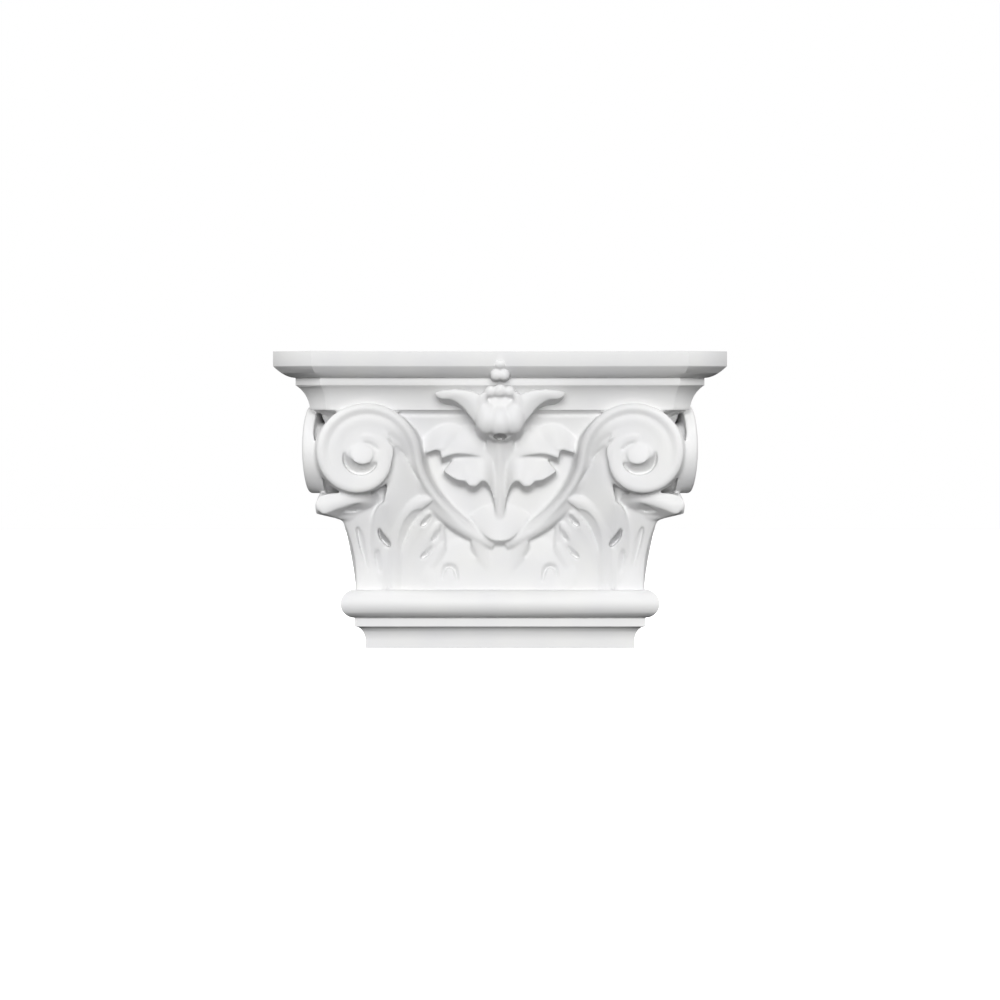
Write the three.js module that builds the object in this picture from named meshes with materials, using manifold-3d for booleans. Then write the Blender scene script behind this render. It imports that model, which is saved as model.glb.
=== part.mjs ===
// Corinthian pilaster capital, moulded in one piece with a flat back, for a square shaft against a wall.
// Units are millimetres. +Z is up, the front faces -Y, and the origin is the middle of the underside.
import * as THREE from "three";
import { LoftGeometry } from "three/addons/geometries/LoftGeometry.js";
import { mergeVertices } from "three/addons/utils/BufferGeometryUtils.js";
import Module from "manifold-3d";

const wasm = await Module();
wasm.setup();

// Driving dimensions of the shaft and of the whole capital
const SHAFT_HALF = 100;
const SHAFT_DEPTH = 60;
const HEIGHT = 220;
const PROJECTION = 68; // how far the abacus tips stand out from the shaft, to the front and to each side
const WALL_Y = SHAFT_DEPTH / 2;
const BACK_STOCK = 6; // everything runs this far past the wall line, and one cut makes the flat back
const HAIR = 0.07; // the returns sit this much lower, so that no two edges meet exactly on the diagonal
const SLIVER = 0.15; // facets finer than this, left where the carving meets, are merged

// Abacus: hollowed sides, corners cut across at 45 degrees
const TIP_X = 139; // front end of the corner cut
const SIDE_TURN = THREE.MathUtils.degToRad(18); // how far the hollowed side has turned at the corner cut
const SIDE_RADIUS = TIP_X / Math.sin(SIDE_TURN);
const SIDE_CENTRE = PROJECTION + SIDE_RADIUS * Math.cos(SIDE_TURN);
const CUT_SUM = TIP_X - SHAFT_HALF + PROJECTION; // side and front projection together, along the corner cut
const FASCIA_Z = 209;
const OVOLO_Z = 200.4;
const OVOLO_SET_BACK = 14;
const FILLET_Z = 195;
const ABACUS_Z = 176.7;
const ABACUS_SET_BACK = 23.3;

// Neck: plain band, cavetto, fillet and half-round astragal
const BAND_TOP_Z = 5.5;
const FILLET_OUT = 8;
const NECK_FILLET_Z = 16;
const ASTRAGAL_RADIUS = 10.4;
const ASTRAGAL_Z = 33;

// Bell: square below, spreading to the hollowed plan of the abacus
const BELL_OUT = 3.5;
const BELL_CORNER = 3;
const BELL_FOOT_Z = 40;
const BELL_TOP_Z = 178;
const BELL_FLARE = 2.2;
const BELL_SET_BACK = 26.5; // behind the face of the abacus, at the lip

// Scrolls: an S-shaped band that winds into a volute
const EYE_X = -102.4;
const EYE_Z = 142.8;
const EYE_RADIUS = 8;
const VOLUTE_RADIUS = 44.4; // at the right of the eye, where the band starts to wind
const VOLUTE_DRAW_IN = 5.65; // loss of radius in each quarter turn
const VOLUTE_QUARTERS = 6;
const VOLUTE_OUT = 42; // the face of the volute at its eye, in front of the shaft
const VOLUTE_LEAN = 0.16; // the outer edge stands further forward than the inner one
const GROUND_RADIUS = 26.5;
const GROUND_SHIFT = 3.5; // the ground's middle lies off the eye, towards the wide side of the spiral
const GROUND_SUNK = 9;
const BAND_FOOT_OUT = 12;
const BAND_RIM_SHARE = 0.3;
const BAND_CHANNEL = 3.5;
const BAND_BODY = 30; // the band's depth, back into the bell

const PRIMED_WHITE = new THREE.MeshStandardMaterial({ color: 0xe6e6e4, roughness: 0.7, metalness: 0 });

// A point by its place across the front, how far it stands out from the shaft's face, and its height
const front = (x, out, z) => new THREE.Vector3(x, -SHAFT_DEPTH / 2 - out, z);

// The diagonal of the left corner swaps what stands out to the front with what stands out to the side
const acrossCorner = (p) => {
  const out = -p.y - SHAFT_DEPTH / 2;
  return front(-SHAFT_HALF - out, -SHAFT_HALF - p.x, p.z - HAIR);
};
const acrossMiddle = (p) => new THREE.Vector3(-p.x, p.y, p.z);

// A closed geometry as a solid
function solidOf(geometry) {
  geometry.deleteAttribute("normal");
  geometry.deleteAttribute("uv");
  const merged = mergeVertices(new THREE.BufferGeometry().copy(geometry), 1e-4);
  const corners = merged.index.array;
  const triVerts = [];
  for (let i = 0; i < corners.length; i += 3) {
    const [a, b, c] = corners.subarray(i, i + 3);
    if (a !== b && b !== c && c !== a) triVerts.push(a, b, c);
  }
  const mesh = new wasm.Mesh({
    numProp: 3,
    vertProperties: merged.attributes.position.array,
    triVerts: new Uint32Array(triVerts),
  });
  return new wasm.Manifold(mesh);
}

const loft = (sections) => solidOf(new LoftGeometry(sections, { capStart: true, capEnd: true }));
const moved = (sections, move) => sections.map((section) => section.map(move));
// A mirrored section is read backwards, which keeps the faces pointing outwards
const mirrored = (sections, mirror) => sections.map((section) => section.map(mirror).reverse());
const arcSteps = (count) => Array.from({ length: count + 1 }, (_, i) => (i / count) * (Math.PI / 2));
const lerp = THREE.MathUtils.lerp;

// Abacus plan, set back from its top edge: the front hollow from the left cut to the middle
function abacusPlan(setBack, steps) {
  const radius = SIDE_RADIUS + setBack;
  const cut = SIDE_CENTRE - CUT_SUM - SHAFT_HALF + setBack * Math.SQRT2;
  const cutX = (cut - Math.sqrt(2 * radius ** 2 - cut ** 2)) / 2;
  const hollow = (x) => SIDE_CENTRE - Math.sqrt(radius ** 2 - x ** 2);
  const wallX = SHAFT_DEPTH + BACK_STOCK - SHAFT_HALF;
  const sideSteps = Math.round(steps / 2);
  const half = [];
  for (let i = sideSteps; i >= 0; i--) {
    const along = lerp(cutX, wallX, i / sideSteps);
    half.push([-SHAFT_HALF - hollow(along), -SHAFT_HALF - along]);
  }
  for (let i = 0; i <= steps; i++) {
    const x = lerp(cutX, 0, i / steps);
    half.push([x, hollow(x)]);
  }
  return half;
}

// The whole outline at one height from its left half, which runs from the wall to the middle of the front
function wholeOutline(half, z) {
  const left = half.map(([x, out]) => front(x, out, z));
  const right = left.slice(0, -1).reverse().map(acrossMiddle);
  return [...left, ...right];
}

// A bend of the abacus profile from one [set back, height] to another
function bend(from, middle, to, steps) {
  const [a, b, c] = [from, middle, to].map((point) => new THREE.Vector2(...point));
  return new THREE.QuadraticBezierCurve(a, b, c).getPoints(steps);
}

function abacus() {
  const cavetto = bend([ABACUS_SET_BACK, ABACUS_Z], [21, 186.5], [OVOLO_SET_BACK, FILLET_Z], 5);
  const ovolo = bend([OVOLO_SET_BACK, OVOLO_Z], [OVOLO_SET_BACK / 2, OVOLO_Z], [0, FASCIA_Z], 4);
  const profile = [...cavetto, ...ovolo, new THREE.Vector2(0, HEIGHT)];
  return loft(profile.map((point) => wholeOutline(abacusPlan(point.x, 8), point.y)));
}

function neck() {
  const square = (out, z) => {
    const half = SHAFT_HALF + out;
    const back = -SHAFT_DEPTH - BACK_STOCK;
    return [front(half, back, z), front(-half, back, z), front(-half, out, z), front(half, out, z)];
  };
  const profile = [
    [0, 0],
    ...arcSteps(4).map((a) => [
      FILLET_OUT * (1 - Math.cos(a)),
      BAND_TOP_Z + (NECK_FILLET_Z - BAND_TOP_Z) * Math.sin(a),
    ]),
    ...arcSteps(8).map((a) => [
      FILLET_OUT + ASTRAGAL_RADIUS * Math.sin(2 * a),
      ASTRAGAL_Z - ASTRAGAL_RADIUS * Math.cos(2 * a),
    ]),
  ];
  return loft(profile.map(([out, z]) => square(out, z)));
}

function bell() {
  const steps = 6;
  const spread = abacusPlan(BELL_SET_BACK, steps);
  const sidePoints = spread.length - steps - 1;
  const cornerX = spread[sidePoints][0];
  const square = spread.map(([x, out], i) =>
    i < sidePoints
      ? [-SHAFT_HALF - BELL_OUT, Math.min(out, BELL_OUT - BELL_CORNER)]
      : [(x / cornerX) * (BELL_CORNER - SHAFT_HALF - BELL_OUT), BELL_OUT],
  );
  const levels = 8;
  const sections = [];
  for (let i = 0; i <= levels; i++) {
    const rise = i / levels;
    const flare = rise ** BELL_FLARE;
    const half = square.map(([x, out], k) => [
      lerp(x, spread[k][0], flare),
      lerp(out, spread[k][1], flare),
    ]);
    sections.push(wholeOutline(half, lerp(BELL_FOOT_Z, BELL_TOP_Z, rise)));
  }
  return loft(sections);
}

// Outer edge of the left scroll: quarters below 0 run down the S, those above wind round the eye
const bandRise = new THREE.CubicBezierCurve(
  new THREE.Vector2(-2, 83),
  new THREE.Vector2(-27, 92),
  new THREE.Vector2(-56, 117),
  new THREE.Vector2(EYE_X + VOLUTE_RADIUS, EYE_Z),
);
function bandEdge(quarter) {
  if (quarter < 0) return bandRise.getPoint(1 + quarter);
  const turn = (quarter * Math.PI) / 2;
  const radius = VOLUTE_RADIUS - VOLUTE_DRAW_IN * quarter;
  return new THREE.Vector2(EYE_X + radius * Math.cos(turn), EYE_Z + radius * Math.sin(turn));
}
function bandWidth(quarter) {
  const knots = [11, 15, 16.3, 17.4, 16, 12, 7.5, 3];
  const at = THREE.MathUtils.clamp(quarter + 1, 0, knots.length - 1.001);
  const i = Math.floor(at);
  return lerp(knots[i], knots[i + 1], at - i);
}
const voluteOut = (x) => VOLUTE_OUT - VOLUTE_LEAN * (x - EYE_X);
const bandOut = (x, quarter) =>
  lerp(BAND_FOOT_OUT, voluteOut(x), THREE.MathUtils.smoothstep(quarter, -1.15, 0.5));

function scrollSections() {
  const stepsPerQuarter = 6;
  const first = -7;
  const sections = [];
  for (let i = first; i <= VOLUTE_QUARTERS * stepsPerQuarter; i++) {
    const quarter = i < 0 ? i / -first : i / stepsPerQuarter;
    const outer = bandEdge(quarter);
    const ahead = bandEdge(quarter + 0.01).sub(outer).normalize();
    const inward = new THREE.Vector2(-ahead.y, ahead.x).multiplyScalar(bandWidth(quarter));
    const at = (share, lower) => {
      const p = outer.clone().addScaledVector(inward, share);
      return front(p.x, bandOut(p.x, quarter) - lower, p.y);
    };
    sections.push([
      at(1, BAND_BODY),
      at(1, BAND_CHANNEL - 1),
      at(BAND_RIM_SHARE + 0.12, BAND_CHANNEL),
      at(BAND_RIM_SHARE, 0.8),
      at(BAND_RIM_SHARE / 2, 0),
      at(0, 0.8),
      at(0, BAND_BODY),
    ]);
  }
  return sections;
}

// A round block that stands out from the bell, through rings of [radius, out from the volute's face]
function roundSections(x, z, sides, rings) {
  return rings.map(([radius, rise]) =>
    Array.from({ length: sides }, (_, i) => {
      const turn = (i / sides) * 2 * Math.PI;
      return front(x + radius * Math.cos(turn), VOLUTE_OUT + rise, z + radius * Math.sin(turn));
    }),
  );
}
// Button in the middle of the volute
const eyeSections = () =>
  roundSections(EYE_X, EYE_Z, 10, [
    [EYE_RADIUS, -BAND_BODY],
    [EYE_RADIUS, -1],
    [EYE_RADIUS * 0.8, 1.2],
    [EYE_RADIUS * 0.4, 2.2],
  ]);
// Sunk ground between the windings of the volute
const groundSections = () =>
  roundSections(EYE_X + GROUND_SHIFT, EYE_Z + GROUND_SHIFT / 2, 12, [
    [GROUND_RADIUS, -BAND_BODY],
    [GROUND_RADIUS, -GROUND_SUNK],
  ]);

// One lobe of a leaf: a hollowed blade along a bent rib, from [across, out, up] at its foot to its tip.
// Its body runs straight back into the bell, or, where the tip curls over, square to the rib.
function lobeSections({ foot, bend, tip, width, body = 14, hollow = 0.12, fullAt = 0.8, curl = false }) {
  const rib = new THREE.QuadraticBezierCurve3(front(...foot), front(...bend), front(...tip));
  const steps = 4;
  const sections = [];
  for (let i = 0; i <= steps; i++) {
    const along = i / steps;
    const middle = rib.getPoint(along);
    const ahead = rib.getTangent(along);
    const side = curl ? new THREE.Vector3(1, 0, 0) : new THREE.Vector3(ahead.z, 0, -ahead.x).normalize();
    const back = curl ? ahead.clone().cross(side) : new THREE.Vector3(0, 1, 0);
    const half = (width / 2) * lerp(0.25, 1, Math.sin(Math.PI * along ** fullAt) ** 0.7);
    const at = (share, lower) =>
      middle.clone().addScaledVector(side, share * half).addScaledVector(back, lower);
    sections.push([
      at(-1, body),
      at(-1, 0.22 * half),
      at(-0.5, 0),
      at(0, hollow * half),
      at(0.5, 0),
      at(1, 0.22 * half),
      at(1, body),
    ]);
  }
  return sections;
}

// Lobes of the left half of the front, as [across, out, up]
const spray = [
  { foot: [-4, 17, 116], bend: [-15, 22, 149], tip: [-49, 36, 148], width: 17 },
  { foot: [-38, 29, 151], bend: [-47, 33, 152], tip: [-54, 36, 146], width: 9 },
  { foot: [-4, 16, 104], bend: [-10, 24, 131], tip: [-41, 30, 132], width: 18 },
  { foot: [-22, 24, 134], bend: [-28, 27, 131], tip: [-32, 28, 125], width: 10 },
  { foot: [-13, 21, 131], bend: [-17, 24, 127], tip: [-20, 26, 120], width: 11 },
];
const flowerSide = [
  { foot: [-3, 28, 155], bend: [-15, 34, 186], tip: [-48, 44, 189], width: 17, body: 24 },
  { foot: [-2, 30, 155], bend: [-15, 42, 166], tip: [-11, 42, 184], width: 16, body: 24 },
  { foot: [-3, 40, 181], bend: [-9, 44, 187], tip: [-11, 46, 192], width: 8, body: 24 },
];
const flowerMiddle = [
  { foot: [0, 31, 155], bend: [0, 49, 166], tip: [0, 44, 184], width: 15, body: 34 },
  { foot: [0, 40, 181], bend: [0, 48, 190], tip: [0, 46, 197], width: 11, body: 26 },
  { foot: [0, 42, 193], bend: [0, 50, 201], tip: [0, 46, 209], width: 15, body: 26 },
  { foot: [0, 46, 204], bend: [0, 53, 210], tip: [0, 49, 215], width: 9, body: 26 },
];
const stalk = [{ foot: [0, 11, 80], bend: [0, 18, 122], tip: [0, 30, 160], width: 11, body: 18 }];
const middleLeaf = [
  { foot: [0, 6, 42], bend: [0, 8, 66], tip: [0, 12, 84], width: 24 },
  { foot: [0, 7, 72], bend: [0, 15, 90], tip: [0, 17, 74], width: 22, body: 5, curl: true, fullAt: 0.6 },
];
const middleLeafSide = [
  { foot: [-8, 6, 54], bend: [-15, 9, 70], tip: [-17, 12, 81], width: 9 },
  { foot: [-8, 5, 42], bend: [-18, 8, 51], tip: [-25, 8, 64], width: 10 },
  { foot: [-37, 5, 41], bend: [-37, 9, 52], tip: [-37, 8, 62], width: 12 },
  { foot: [-46, 4, 41], bend: [-49, 7, 51], tip: [-54, 7, 61], width: 11 },
];
const archLeaf = [
  { foot: [-77, 5, 42], bend: [-78, 8, 102], tip: [-50, 23, 111], width: 10 },
  { foot: [-69, 7, 83], bend: [-63, 12, 95], tip: [-51, 15, 98], width: 9 },
  { foot: [-71, 6, 68], bend: [-61, 10, 81], tip: [-46, 12, 87], width: 10 },
  { foot: [-72, 5, 54], bend: [-63, 9, 66], tip: [-50, 10, 75], width: 10 },
];
const cornerLeafSide = [
  { foot: [-95, 6, 42], bend: [-95, 8, 80], tip: [-98, 22, 105], width: 11, body: 22 },
  { foot: [-90, 6, 60], bend: [-89, 12, 92], tip: [-81, 18, 107], width: 12, body: 22 },
  { foot: [-88, 5, 44], bend: [-86, 8, 64], tip: [-81, 10, 78], width: 11 },
];

// Blade of the corner leaf, drawn as if the diagonal were the front, then turned to it
const cornerBlade = [
  { foot: [0, 3, 41], bend: [0, 5, 90], tip: [0, 31, 111], width: 12, body: 20 },
  { foot: [HAIR, 16, 92], bend: [0, 34, 118], tip: [0, 42, 98], width: 40, body: 7, curl: true, fullAt: 0.6 },
];
function toDiagonal(p) {
  const out = (-p.y - SHAFT_DEPTH / 2) * Math.SQRT1_2;
  const across = p.x * Math.SQRT1_2;
  return front(-SHAFT_HALF - out + across, out + across, p.z);
}

// All the carving: front left, the same across the corner on the return, and both again on the right
function carving() {
  const onFrontHalf = [...spray, ...flowerSide, ...middleLeafSide].map(lobeSections);
  const onBothFaces = [
    ...[...archLeaf, ...cornerLeafSide].map(lobeSections),
    scrollSections(),
    groundSections(),
    eyeSections(),
  ];
  const onCorner = cornerBlade.map(lobeSections).map((s) => moved(s, toDiagonal));
  const onMiddle = [...stalk, ...middleLeaf, ...flowerMiddle].map(lobeSections);
  const onReturn = onBothFaces.map((s) => mirrored(s, acrossCorner));
  const left = [...onFrontHalf, ...onBothFaces, ...onCorner, ...onReturn];
  const right = left.map((s) => mirrored(s, acrossMiddle));
  return [...onMiddle, ...left, ...right].map(loft);
}

// Room in front of the wall line, between the underside and the top
function roomBeforeWall() {
  const wide = 2 * (SHAFT_HALF + PROJECTION + BACK_STOCK);
  const deep = 2 * SHAFT_DEPTH + 2 * PROJECTION;
  const box = new THREE.BoxGeometry(wide, deep, HEIGHT);
  return solidOf(box.translate(0, WALL_Y - deep / 2, HEIGHT / 2));
}

function geometryOf(solid) {
  const mesh = solid.getMesh();
  const geometry = new THREE.BufferGeometry();
  geometry.setAttribute("position", new THREE.BufferAttribute(mesh.vertProperties, 3));
  geometry.setIndex(new THREE.BufferAttribute(mesh.triVerts, 1));
  geometry.computeVertexNormals();
  return geometry;
}

const joined = wasm.Manifold.union([neck(), bell(), abacus(), ...carving()]);
const trimmed = joined.intersect(roomBeforeWall()).simplify(SLIVER);
// Pockets that overlapping lobes seal off are filled: the outer skin alone is kept
const whole = trimmed.decompose().sort((a, b) => b.volume() - a.volume())[0];

const capital = new THREE.Mesh(geometryOf(whole), PRIMED_WHITE);
capital.name = "capital";

const part = new THREE.Group();
part.add(capital);

export default part;
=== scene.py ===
# %% [markdown]
# # A white corinthian pilaster capital
# The real object is one moulding in rigid polyurethane foam, sprayed with white primer. It crowns a
# square pilaster, so its back is flat against the wall. This lesson models it as a carver would:
# first the block and its mouldings, then each leaf, scroll and petal as a shape of its own, and at
# the end all of it fused into one skin, as the mould does.
#
# The script starts from the part's own frame, so every size agrees with the solid that it stands
# for.

import math

import bpy
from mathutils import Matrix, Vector


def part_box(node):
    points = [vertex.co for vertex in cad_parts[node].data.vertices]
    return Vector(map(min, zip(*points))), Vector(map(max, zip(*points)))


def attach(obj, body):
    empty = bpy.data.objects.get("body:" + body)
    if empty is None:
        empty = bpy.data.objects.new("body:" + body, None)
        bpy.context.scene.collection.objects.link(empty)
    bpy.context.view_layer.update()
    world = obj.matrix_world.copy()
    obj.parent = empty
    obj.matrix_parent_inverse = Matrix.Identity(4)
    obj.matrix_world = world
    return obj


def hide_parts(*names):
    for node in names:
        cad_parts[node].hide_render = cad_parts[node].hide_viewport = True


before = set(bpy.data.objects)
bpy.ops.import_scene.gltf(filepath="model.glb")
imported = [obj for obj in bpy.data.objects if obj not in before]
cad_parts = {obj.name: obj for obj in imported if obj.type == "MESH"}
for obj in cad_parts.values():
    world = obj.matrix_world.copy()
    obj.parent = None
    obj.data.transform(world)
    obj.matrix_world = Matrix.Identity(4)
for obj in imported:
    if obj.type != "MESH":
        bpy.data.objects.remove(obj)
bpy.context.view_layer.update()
print("CAD nodes:", [*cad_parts])

# %% [markdown]
# ## Sizes and places
# All sizes are in millimetres and turned to metres at the last moment. A point is given as a carver
# sees it, facing the front: how far across, how far out from the face of the shaft, and how high.
# The frame gives the wall line and the overall width, and the rest follows from the shaft.

# %% Driving sizes
MM = 0.001
_, far_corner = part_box("capital")
WALL_Y = far_corner.y / MM
SHAFT_DEPTH = 2 * WALL_Y
SHAFT_HALF = 100.0
PROJECTION = far_corner.x / MM - SHAFT_HALF
HEIGHT = far_corner.z / MM
BACK_STOCK = 6.0


def at(across, out, up):
    """A place on the front, in millimetres, as a point of the frame in metres."""
    return Vector((across, -SHAFT_DEPTH / 2 - out, up)) * MM


print(f"shaft {2 * SHAFT_HALF:.0f} x {SHAFT_DEPTH:.0f} mm, abacus stands out {PROJECTION:.0f} mm")

# %% [markdown]
# ## Three ways to make a solid
# Carved work like this is often sculpted with brushes. Here every shape starts as a flat grid whose
# points are laid on a curved skin by a formula, because such a shape can be measured, changed by a
# number and made again. A ring of skin, closed at its seam and capped, is a loft. A leaf is a skin
# extruded back into the bell. A leaf that stands free of the bell gets its thickness from a
# Solidify modifier.

# %% Modelling helpers


def only(*pieces):
    """Selects these pieces and nothing else, with the first one active."""
    bpy.ops.object.select_all(action="DESELECT")
    for piece in pieces:
        piece.select_set(True)
    bpy.context.view_layer.objects.active = pieces[0]


def skin(name, columns, rows, place):
    """A grid whose points lie where place(across, along) puts them, both from 0 to 1."""
    bpy.ops.object.select_all(action="DESELECT")
    bpy.ops.mesh.primitive_grid_add(x_subdivisions=columns, y_subdivisions=rows, size=1)
    piece = bpy.context.object
    piece.name = name
    for point in piece.data.vertices:
        point.co = place(point.co.x + 0.5, point.co.y + 0.5)
    return piece


def edit_all(piece, *steps):
    """Runs edit mode steps on the whole of a piece."""
    only(piece)
    bpy.ops.object.mode_set(mode="EDIT")
    for step in steps:
        bpy.ops.mesh.select_all(action="SELECT")
        step()
    bpy.ops.mesh.select_all(action="SELECT")
    bpy.ops.mesh.normals_make_consistent(inside=False)
    bpy.ops.object.mode_set(mode="OBJECT")
    return piece


SEAM = 0.001


def close_ring(piece):
    """Joins the seam of a ring of skin and caps its two ends."""
    return edit_all(
        piece,
        lambda: bpy.ops.mesh.remove_doubles(threshold=SEAM * MM),
        lambda: bpy.ops.mesh.fill_holes(sides=0),
    )


def set_back(piece, depth, drop=0.0, aside=0.0):
    """Extrudes an open skin back into the bell. The drop slopes its lower wall, for the mould."""
    move = {"value": (aside * MM, depth * MM, -drop * MM)}
    return edit_all(piece, lambda: bpy.ops.mesh.extrude_region_move(TRANSFORM_OT_translate=move))


def use_modifier(piece, kind, **settings):
    """Adds a modifier with its settings and applies it."""
    only(piece)
    modifier = piece.modifiers.new(kind.title(), kind)
    for setting, value in settings.items():
        setattr(modifier, setting, value)
    bpy.ops.object.modifier_apply(modifier=modifier.name)
    return piece


def join(name, pieces):
    """Joins pieces into one object."""
    only(*pieces)
    bpy.ops.object.join()
    bpy.context.object.name = name
    return bpy.context.object


# %% [markdown]
# ## Curves
# The edges and ribs of leaves are drawn with a few points each. A Bezier curve is only pulled
# towards its points, which suits a long calm rib. A curve through its points suits an edge that has
# to pass certain places. Both could be curve objects, but the places along them are needed as
# numbers, to lay the grids.

# %% Curves
STEP = 0.01


def bezier(points, t):
    """The place t along a Bezier curve with these control points."""
    points = [Vector(p) for p in points]
    while len(points) > 1:
        points = [a.lerp(b, t) for a, b in zip(points, points[1:])]
    return points[0]


def through(points, t):
    """The place t along a smooth curve through these points, which may be numbers."""
    spans = len(points) - 1
    i = min(int(t * spans), spans - 1)
    f = t * spans - i
    before, here, there = points[max(i - 1, 0)], points[i], points[i + 1]
    after = points[min(i + 2, spans)]
    turn = (there - before) * f + (before * 2 - here * 5 + there * 4 - after) * f**2
    return (here * 2 + turn + (here * 3 - before - there * 3 + after) * f**3) * 0.5


def heading(curve, points, t):
    """The way a curve goes at t, from a short step before to a short step after."""
    return curve(points, min(t + STEP, 1.0)) - curve(points, max(t - STEP, 0.0))


def mix(a, b, t):
    """The value that lies t of the way from a to b."""
    return a + (b - a) * t


def ease(t):
    """0 to 1 with a soft start and a soft end."""
    t = min(max(t, 0.0), 1.0)
    return t * t * (3 - 2 * t)


# %% [markdown]
# ## The abacus and its plan
# The top slab has hollowed sides, and its corners are cut across at 45 degrees. One arc draws the
# front, and its mirror image across the corner draws each return. The profile, from the bottom, is
# a cavetto, a fillet, a quarter-round ovolo and a flat fascia. A profile could be swept along the
# plan with a bevelled curve, but at the corners it would twist. So the plan is set back by what the
# profile asks for, height by height.

# %% Plan of the abacus
CUT_X, CUT_SHARE = 139.0, 1.15
SIDE_TURN = math.radians(18)
SIDE_RADIUS = CUT_X / math.sin(SIDE_TURN)
SIDE_CENTRE = PROJECTION + SIDE_RADIUS * math.cos(SIDE_TURN)
CUT_SUM = CUT_X - SHAFT_HALF + PROJECTION


def hollow_side(across, back):
    """How far the hollowed front stands out, when the plan is set back by this much."""
    return SIDE_CENTRE - math.sqrt((SIDE_RADIUS + back) ** 2 - across**2)


def cut_corner(back):
    """Where the hollowed front meets the corner cut, which is set back more than the sides."""
    radius = SIDE_RADIUS + back
    cut = SIDE_CENTRE - CUT_SUM - SHAFT_HALF + CUT_SHARE * back * math.sqrt(2)
    return (cut - math.sqrt(2 * radius**2 - cut**2)) / 2


def abacus_half(back, corner, steps):
    """Left half of the plan, from behind the wall line to the middle of the front."""
    wall = SHAFT_DEPTH + BACK_STOCK - SHAFT_HALF
    half = []
    for i in range(steps, -1, -1):
        along = mix(corner, wall, i / steps)
        half.append((-SHAFT_HALF - hollow_side(along, back), -SHAFT_HALF - along))
    for i in range(steps + 1):
        across = mix(corner, 0, i / steps)
        half.append((across, hollow_side(across, back)))
    return half


def round_plan(half, up):
    """The whole plan at one height, left half and right half, as a closed ring of points."""
    right = [(-across, out) for across, out in reversed(half[:-1])]
    ring = [at(across, out, up) for across, out in half + right]
    return ring + ring[:1]


print(f"hollow of the front: {PROJECTION - hollow_side(0, 0):.1f} mm")

# %% Abacus
ABACUS_Z, FILLET_Z, OVOLO_Z, FASCIA_Z = 176.7, 195.0, 200.4, 209.0
CAVETTO_BACK, FILLET_BACK = 23.3, 14.0
CAVETTO_PULL, OVOLO_PULL = (22.0, 189.0), (7.5, OVOLO_Z)
PLAN_STEPS, PROFILE_STEPS = 28, 12


def loft(name, rings):
    """A solid through rings of points that all have the same number."""
    columns, rows = len(rings[0]) - 1, len(rings) - 1
    laid = skin(name, columns, rows, lambda u, v: rings[round(v * rows)][round(u * columns)])
    return close_ring(laid)


def moulding(*points):
    """One moulding of the profile, as points of (set back, up) along a Bezier curve."""
    return [bezier(points, i / PROFILE_STEPS) for i in range(PROFILE_STEPS + 1)]


abacus_profile = moulding((CAVETTO_BACK, ABACUS_Z), CAVETTO_PULL, (FILLET_BACK, FILLET_Z))
abacus_profile += moulding((FILLET_BACK, OVOLO_Z), OVOLO_PULL, (0, FASCIA_Z))
abacus_profile.append((0.0, HEIGHT))
abacus = loft("abacus", [
    round_plan(abacus_half(back, cut_corner(back), PLAN_STEPS), up)
    for back, up in abacus_profile
])
print("abacus:", len(abacus.data.polygons), "faces")

# %% [markdown]
# ## The neck
# Below the bell the square plan of the shaft returns: a plain band, a cavetto, a fillet and a
# half-round astragal. Its corners are plain mitres, so four corner points for each height are
# enough for the loft.

# %% Neck
BAND_TOP, NECK_FILLET_Z, NECK_FILLET_OUT = 5.5, 16.0, 8.0
ASTRAGAL_Z, ASTRAGAL_RADIUS = 33.0, 10.4
NECK_STEPS = 10


def quarter_turns(count):
    """Angles from 0 to a quarter turn, in so many steps."""
    return [math.pi / 2 * i / count for i in range(count + 1)]


def square_plan(out, up):
    """The shaft's plan at one height, standing out by this much all round."""
    side = -SHAFT_HALF - out
    return round_plan([(side, -SHAFT_DEPTH - BACK_STOCK), (side, out), (0.0, out)], up)


neck_profile = [(0.0, 0.0)]
neck_profile += [
    (NECK_FILLET_OUT * (1 - math.cos(a)), mix(BAND_TOP, NECK_FILLET_Z, math.sin(a)))
    for a in quarter_turns(NECK_STEPS)
]
neck_profile += [
    (
        NECK_FILLET_OUT + ASTRAGAL_RADIUS * math.sin(2 * a),
        ASTRAGAL_Z - ASTRAGAL_RADIUS * math.cos(2 * a),
    )
    for a in quarter_turns(2 * NECK_STEPS)
]
neck = loft("neck", [square_plan(out, up) for out, up in neck_profile])
print("neck:", len(neck.data.polygons), "faces")

# %% [markdown]
# ## The bell
# The bell is the core that the leaves grow on. On a round column it would be turned on a lathe, or
# in Blender made with Spin. On a pilaster it is square at its foot and spreads to the hollowed plan
# under the abacus, where it ends in a faint lip and a groove, so it is a loft through plans that
# change on their way up.

# %% Bell
BELL_FOOT_Z, BELL_TOP_Z = 40.0, 178.0
BELL_OUT, BELL_CORNER = 3.5, 3.0
BELL_FLARE = 2.2
BELL_BACK = 26.5
CORNER_HOLLOW = 12.0
LIP_Z, LIP_TOP_Z, LIP_OUT, GROOVE_DEPTH = 168.5, 173.0, 0.2, 2.2
LIP_STEPS, LIP_STEP, LIP_EDGE = 4, 0.7, 0.8
BELL_OVERLAP = 0.5
BELL_STEPS, RISE_STEPS = 20, 24


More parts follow.
